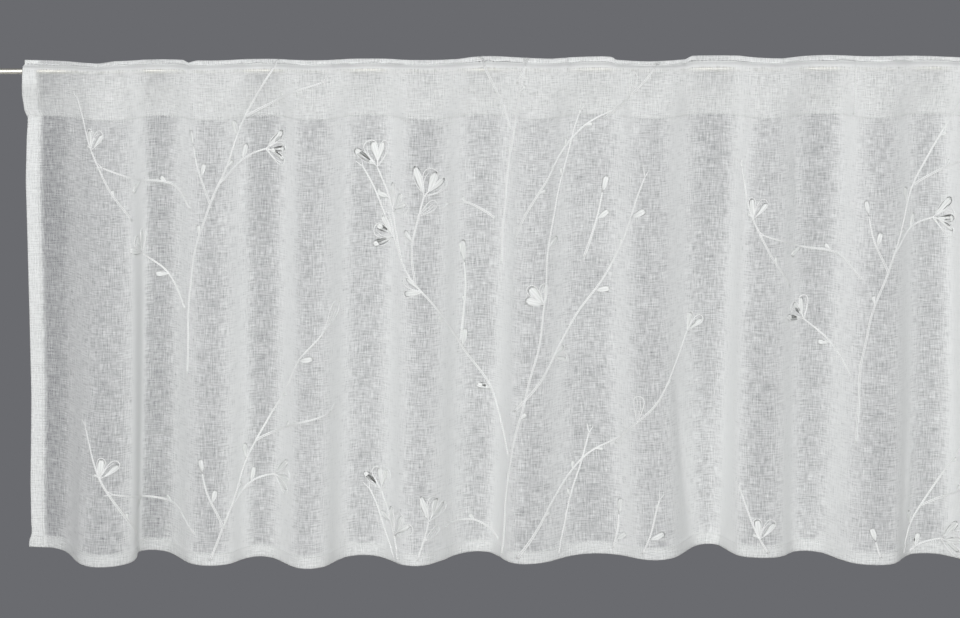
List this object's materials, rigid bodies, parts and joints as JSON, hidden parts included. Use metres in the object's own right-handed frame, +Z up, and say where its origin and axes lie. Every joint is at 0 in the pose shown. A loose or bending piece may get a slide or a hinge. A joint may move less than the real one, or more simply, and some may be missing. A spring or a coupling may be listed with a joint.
{
  "type": "cafe curtain on a rod",
  "caption": "Sheer white voile cafe curtain with embroidered twigs, gathered by its pocket heading on a slim straight steel rod.",
  "frame": {"origin": "on the rod's axis, half way along the rod", "axes": "+X along the rod to the right as seen from the front, +Y to the rear (the front faces -Y), +Z up"},
  "size_m": [1.166, 0.0651, 0.4522],
  "materials": {
    "voile": "sheer plain-woven slub voile, matte white",
    "rod_steel": "polished plated steel"
  },
  "bodies": {
    "root": {"curtain": "voile", "rod": "rod_steel"}
  },
  "joints": []
}
